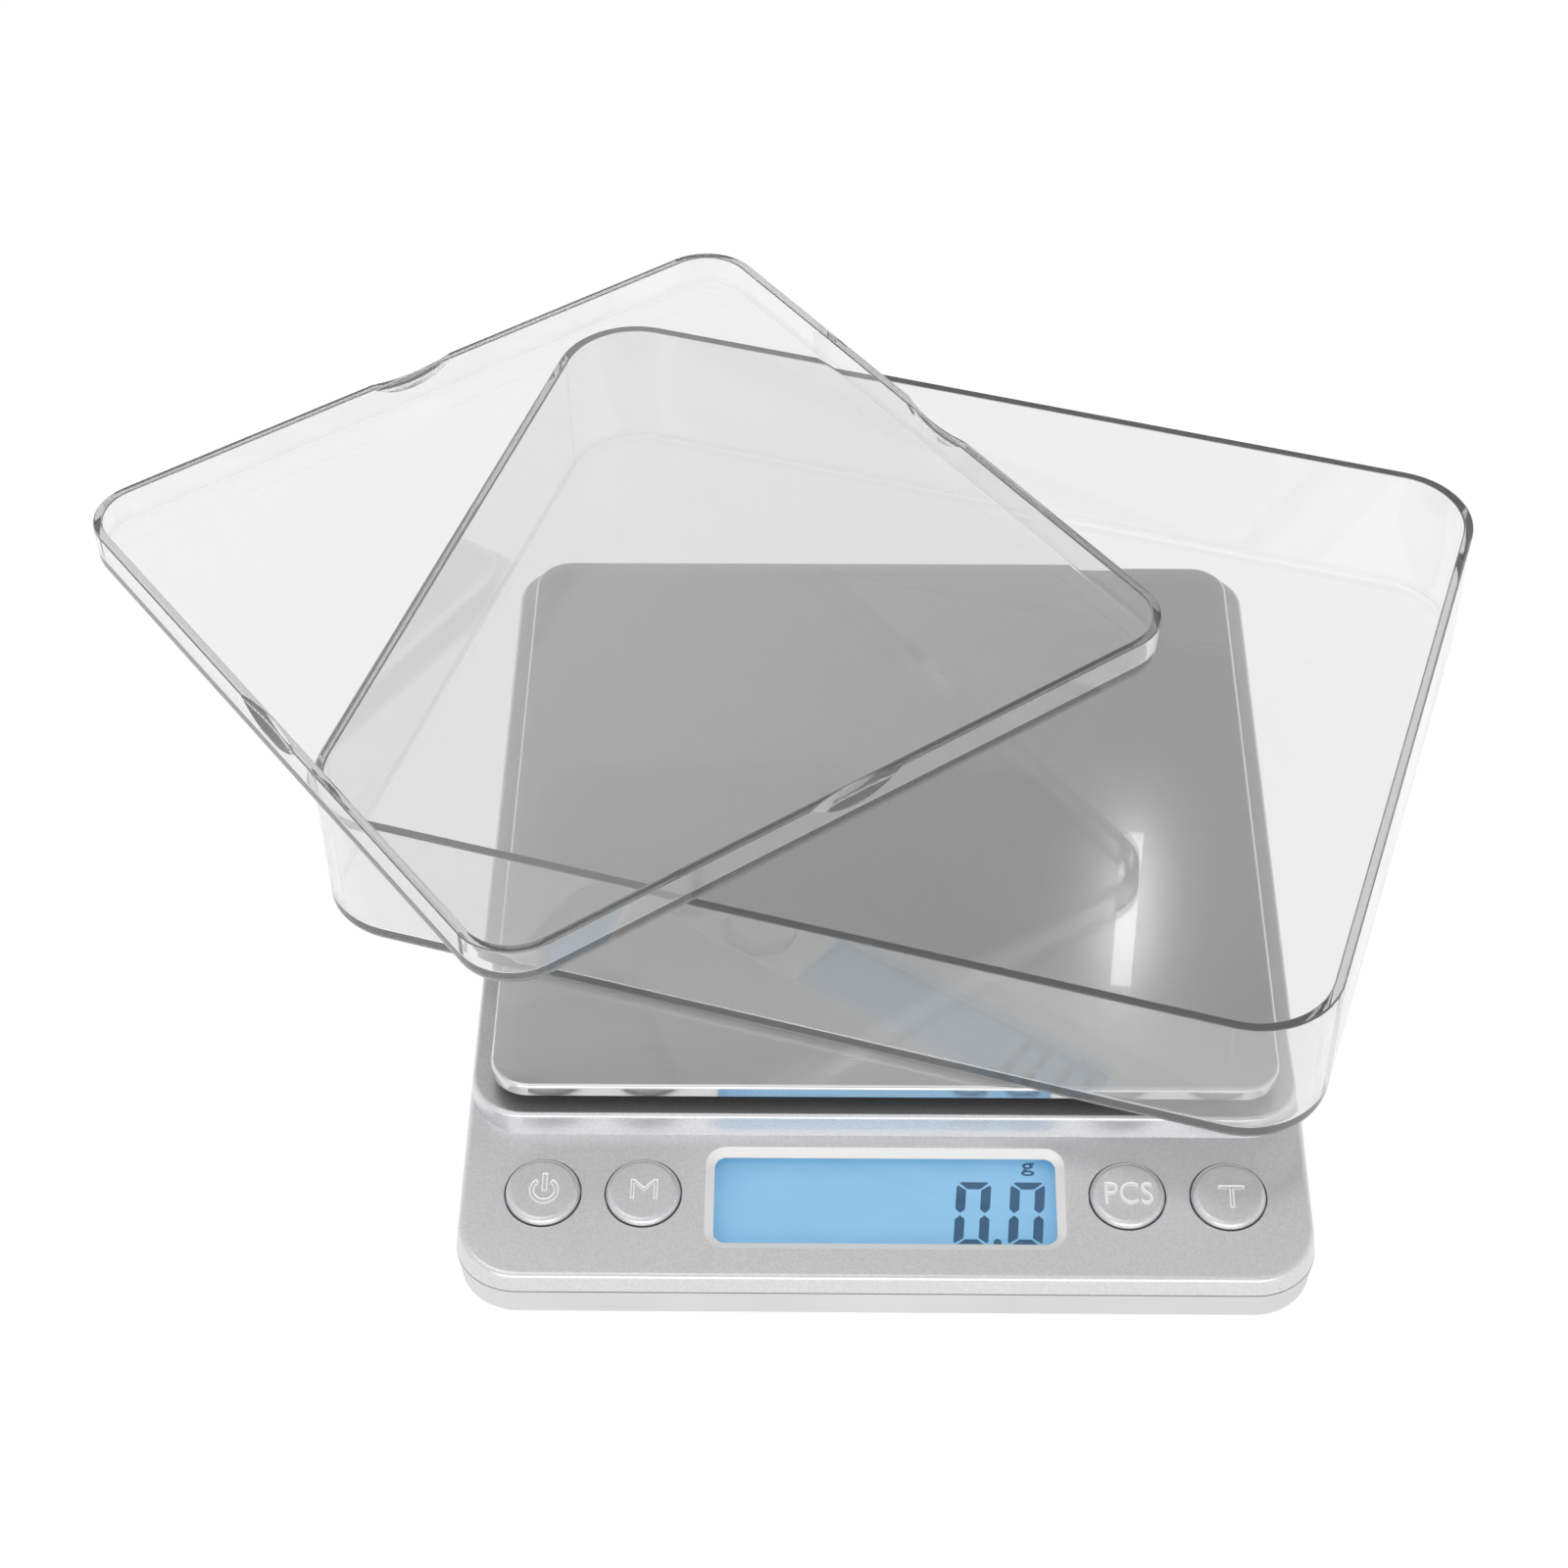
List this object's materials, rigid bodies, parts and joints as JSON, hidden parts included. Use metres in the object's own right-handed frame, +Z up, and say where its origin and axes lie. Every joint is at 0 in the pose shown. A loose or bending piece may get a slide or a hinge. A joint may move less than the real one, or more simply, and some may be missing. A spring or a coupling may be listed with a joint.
{
  "type": "digital gram scale",
  "caption": "Low silver gram scale with a sloped keypad and display, steel platform, and a deep and a shallow clear tray stacked askew on it.",
  "frame": {"origin": "on the weighing axis, the middle of the platform, in the plane that the feet stand on", "axes": "+X to the right as the user faces the display, +Y away from the user, +Z up"},
  "size_m": [0.191, 0.1654, 0.0456],
  "materials": {
    "cover_silver": "silver painted ABS, satin",
    "case_grey": "light grey ABS, fine spark texture",
    "foot_rubber": "dark moulded rubber",
    "screw_steel": "zinc plated",
    "pan_steel": "fine brushed stainless",
    "carrier_plastic": "black ABS",
    "cell_aluminium": "milled",
    "gauge_film": "amber film under clear sealant",
    "lens_clear": "clear acrylic",
    "lcd_face": "lit liquid crystal display",
    "backlight": "diffusing light guide",
    "strip_rubber": "layered conductive silicone",
    "holder_plastic": "natural ABS",
    "board_laminate": "green solder mask on glass laminate",
    "chip_plastic": "black epoxy",
    "battery_jacket": "plain blue foil jacket",
    "contact_nickel": "nickel plated spring steel",
    "lead_red": "insulation",
    "lead_black": "insulation",
    "lead_green": "insulation",
    "lead_white": "insulation",
    "tray_clear": "clear polystyrene, polished",
    "key_silver": "silver painted ABS, satin",
    "switch_plastic": "black nylon"
  },
  "bodies": {
    "base": {"top_cover": "cover_silver", "bottom_case": "case_grey", "foot_front_left": "foot_rubber", "foot_front_right": "foot_rubber", "foot_rear_left": "foot_rubber", "foot_rear_right": "foot_rubber", "case_screws": "screw_steel", "board_screws": "screw_steel", "load_cell_base_screws": "screw_steel", "load_cell": "cell_aluminium", "strain_gauges": "gauge_film", "display_lens": "lens_clear", "lcd_glass": "lcd_face", "lcd_backlight": "backlight", "contact_strip": "strip_rubber", "lcd_holder": "holder_plastic", "main_board": "board_laminate", "controller_chip": "chip_plastic", "battery_front": "battery_jacket", "battery_rear": "battery_jacket", "battery_bridge_contact": "contact_nickel", "battery_bridge_spring": "contact_nickel", "battery_positive_contact": "contact_nickel", "battery_negative_contact": "contact_nickel", "battery_negative_spring": "contact_nickel", "load_cell_lead_red": "lead_red", "load_cell_lead_black": "lead_black", "load_cell_lead_green": "lead_green", "load_cell_lead_white": "lead_white", "battery_lead_negative": "lead_black", "battery_lead_positive": "lead_red", "switch_power": "switch_plastic", "switch_mode": "switch_plastic", "switch_count": "switch_plastic", "switch_tare": "switch_plastic"},
    "battery_door": {"battery_cover": "case_grey"},
    "platform": {"platform_pan": "pan_steel", "platform_carrier": "carrier_plastic", "load_cell_platform_screws": "screw_steel"},
    "deep_tray": {"deep_tray": "tray_clear"},
    "shallow_tray": {"shallow_tray": "tray_clear"},
    "key_power": {"button_power": "key_silver", "plunger_power": "switch_plastic"},
    "key_mode": {"button_mode": "key_silver", "plunger_mode": "switch_plastic"},
    "key_count": {"button_count": "key_silver", "plunger_count": "switch_plastic"},
    "key_tare": {"button_tare": "key_silver", "plunger_tare": "switch_plastic"}
  },
  "joints": [
    {"name": "platform_travel", "type": "slide", "parent": "base", "child": "platform", "axis": [0, 0, -1], "range_m": [0, 0.0003], "stiffness_N_per_m": 16000, "deforming": ["load_cell"]},
    {"name": "battery_door_hinge", "type": "hinge", "parent": "base", "child": "battery_door", "pos_m": [0, 0.0486, 0.0008], "axis": [1, 0, 0], "range_deg": [0, 45]},
    {"name": "deep_tray_lift", "type": "slide", "parent": "platform", "child": "deep_tray", "axis": [0, 0, 1], "range_m": [0, 0.05]},
    {"name": "shallow_tray_lift", "type": "slide", "parent": "deep_tray", "child": "shallow_tray", "axis": [0, 0, 1], "range_m": [0, 0.05]},
    {"name": "key_power_press", "type": "slide", "parent": "base", "child": "key_power", "axis": [0, 0.1702, -0.9854], "range_m": [0, 0.0003], "stiffness_N_per_m": 3000, "springref_m": -0.0001},
    {"name": "key_mode_press", "type": "slide", "parent": "base", "child": "key_mode", "axis": [0, 0.1702, -0.9854], "range_m": [0, 0.0003], "stiffness_N_per_m": 3000, "springref_m": -0.0001},
    {"name": "key_count_press", "type": "slide", "parent": "base", "child": "key_count", "axis": [0, 0.1702, -0.9854], "range_m": [0, 0.0003], "stiffness_N_per_m": 3000, "springref_m": -0.0001},
    {"name": "key_tare_press", "type": "slide", "parent": "base", "child": "key_tare", "axis": [0, 0.1702, -0.9854], "range_m": [0, 0.0003], "stiffness_N_per_m": 3000, "springref_m": -0.0001}
  ]
}
